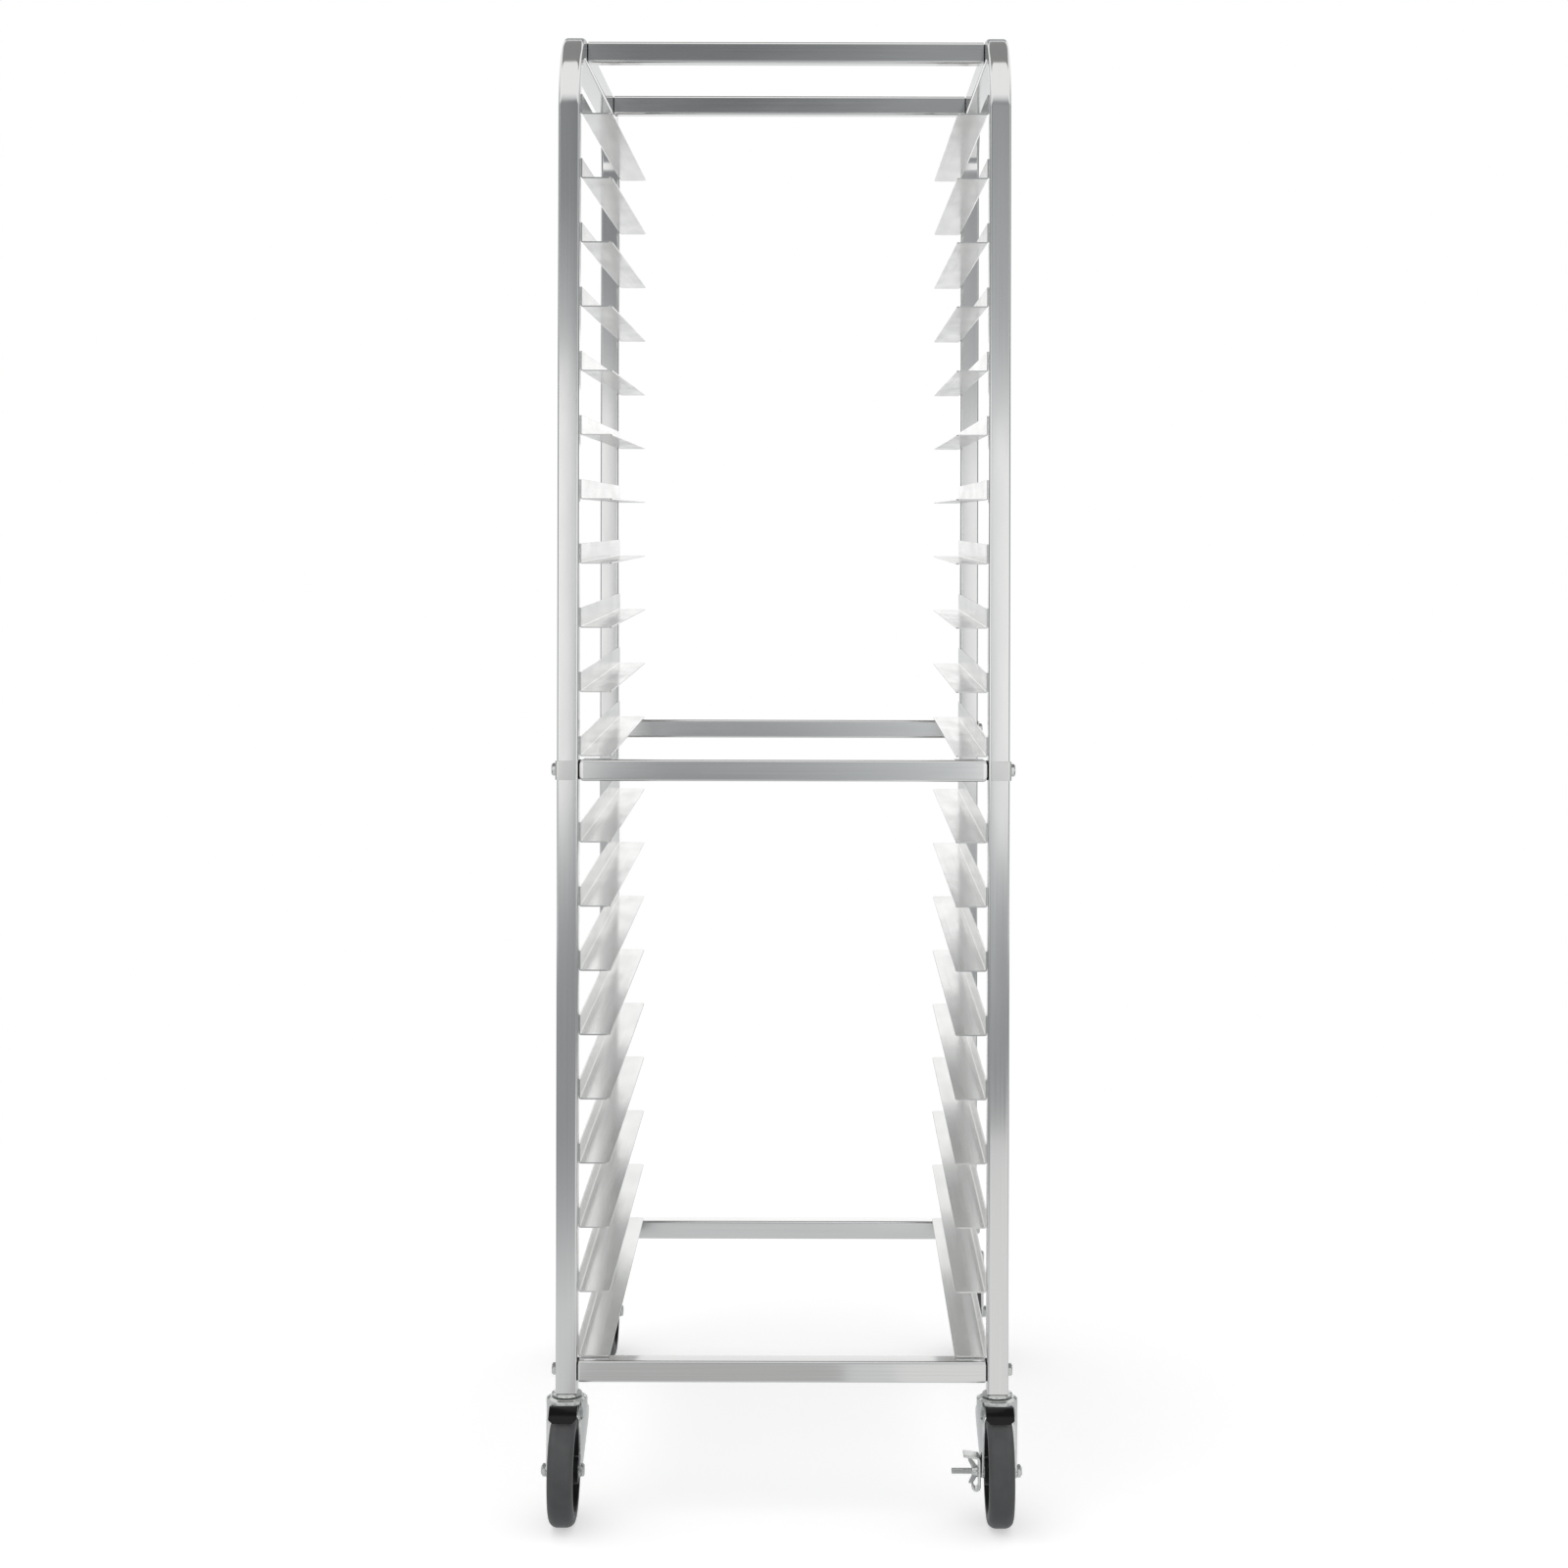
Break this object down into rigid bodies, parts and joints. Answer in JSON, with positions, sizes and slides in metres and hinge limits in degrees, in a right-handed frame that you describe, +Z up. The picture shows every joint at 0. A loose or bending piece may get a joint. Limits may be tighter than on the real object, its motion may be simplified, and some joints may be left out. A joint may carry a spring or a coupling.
{
  "type": "sheet pan rack",
  "caption": "Tall open rack of square aluminium tube with pairs of angle runners for sheet pans, loaded from the end, on swivel casters with a side brake.",
  "frame": {"origin": "on the floor, under the middle of the four wheels, which is the middle of the bottom of the bounding box with the wheels trailing forwards", "axes": "+Z up; -Y is the end shown to the viewer, from which the brake is on the right; +X is to the right"},
  "size_m": [0.563, 0.762, 1.7602],
  "materials": {
    "frame_tube": "satin extruded tube",
    "runner_sheet": "satin extruded angle",
    "zinc_steel": "bright zinc-plated pressed steel",
    "tread_rubber": "smooth moulded",
    "wheel_core": "moulded",
    "guard_plastic": "moulded"
  },
  "bodies": {
    "rack": {"left_side_frame": "frame_tube", "left_runner_01": "runner_sheet", "left_runner_02": "runner_sheet", "left_runner_03": "runner_sheet", "left_runner_04": "runner_sheet", "left_runner_05": "runner_sheet", "left_runner_06": "runner_sheet", "left_runner_07": "runner_sheet", "left_runner_08": "runner_sheet", "left_runner_09": "runner_sheet", "left_runner_10": "runner_sheet", "left_runner_11": "runner_sheet", "left_runner_12": "runner_sheet", "left_runner_13": "runner_sheet", "left_runner_14": "runner_sheet", "left_runner_15": "runner_sheet", "left_runner_16": "runner_sheet", "left_runner_17": "runner_sheet", "left_runner_18": "runner_sheet", "left_runner_19": "runner_sheet", "left_runner_20": "runner_sheet", "right_side_frame": "frame_tube", "right_runner_01": "runner_sheet", "right_runner_02": "runner_sheet", "right_runner_03": "runner_sheet", "right_runner_04": "runner_sheet", "right_runner_05": "runner_sheet", "right_runner_06": "runner_sheet", "right_runner_07": "runner_sheet", "right_runner_08": "runner_sheet", "right_runner_09": "runner_sheet", "right_runner_10": "runner_sheet", "right_runner_11": "runner_sheet", "right_runner_12": "runner_sheet", "right_runner_13": "runner_sheet", "right_runner_14": "runner_sheet", "right_runner_15": "runner_sheet", "right_runner_16": "runner_sheet", "right_runner_17": "runner_sheet", "right_runner_18": "runner_sheet", "right_runner_19": "runner_sheet", "right_runner_20": "runner_sheet", "top_front_crossbar": "frame_tube", "top_rear_crossbar": "frame_tube", "mid_front_crossbar": "frame_tube", "mid_rear_crossbar": "frame_tube", "bottom_front_crossbar": "frame_tube", "bottom_rear_crossbar": "frame_tube"},
    "front_left_swivel": {"front_left_caster_fork": "zinc_steel"},
    "front_left_wheel": {"front_left_caster_wheel": "tread_rubber"},
    "front_right_swivel": {"front_right_caster_fork": "zinc_steel", "front_right_axle_bolt": "zinc_steel"},
    "front_right_wheel": {"front_right_caster_wheel": "tread_rubber"},
    "front_right_brake": {"front_right_brake_lever": "zinc_steel", "front_right_brake_wing_nut": "zinc_steel"},
    "rear_left_swivel": {"rear_left_caster_fork": "zinc_steel"},
    "rear_left_wheel": {"rear_left_caster_wheel": "tread_rubber"},
    "rear_right_swivel": {"rear_right_caster_fork": "zinc_steel"},
    "rear_right_wheel": {"rear_right_caster_wheel": "tread_rubber"}
  },
  "joints": [
    {"name": "front_left_swivel", "type": "hinge", "parent": "rack", "child": "front_left_swivel", "pos_m": [-0.2549, -0.2795, 0.136], "axis": [0, 0, 1], "continuous": true},
    {"name": "front_left_roll", "type": "hinge", "parent": "front_left_swivel", "child": "front_left_wheel", "pos_m": [-0.2549, -0.3175, 0.0635], "axis": [1, 0, 0], "continuous": true},
    {"name": "front_right_swivel", "type": "hinge", "parent": "rack", "child": "front_right_swivel", "pos_m": [0.2549, -0.2795, 0.136], "axis": [0, 0, 1], "continuous": true},
    {"name": "front_right_roll", "type": "hinge", "parent": "front_right_swivel", "child": "front_right_wheel", "pos_m": [0.2549, -0.3175, 0.0635], "axis": [1, 0, 0], "continuous": true},
    {"name": "front_right_brake", "type": "hinge", "parent": "front_right_swivel", "child": "front_right_brake", "pos_m": [0.2249, -0.3175, 0.0635], "axis": [1, 0, 0], "range_deg": [0, 50]},
    {"name": "rear_left_swivel", "type": "hinge", "parent": "rack", "child": "rear_left_swivel", "pos_m": [-0.2549, 0.3555, 0.136], "axis": [0, 0, 1], "continuous": true},
    {"name": "rear_left_roll", "type": "hinge", "parent": "rear_left_swivel", "child": "rear_left_wheel", "pos_m": [-0.2549, 0.3175, 0.0635], "axis": [1, 0, 0], "continuous": true},
    {"name": "rear_right_swivel", "type": "hinge", "parent": "rack", "child": "rear_right_swivel", "pos_m": [0.2549, 0.3555, 0.136], "axis": [0, 0, 1], "continuous": true},
    {"name": "rear_right_roll", "type": "hinge", "parent": "rear_right_swivel", "child": "rear_right_wheel", "pos_m": [0.2549, 0.3175, 0.0635], "axis": [1, 0, 0], "continuous": true}
  ]
}
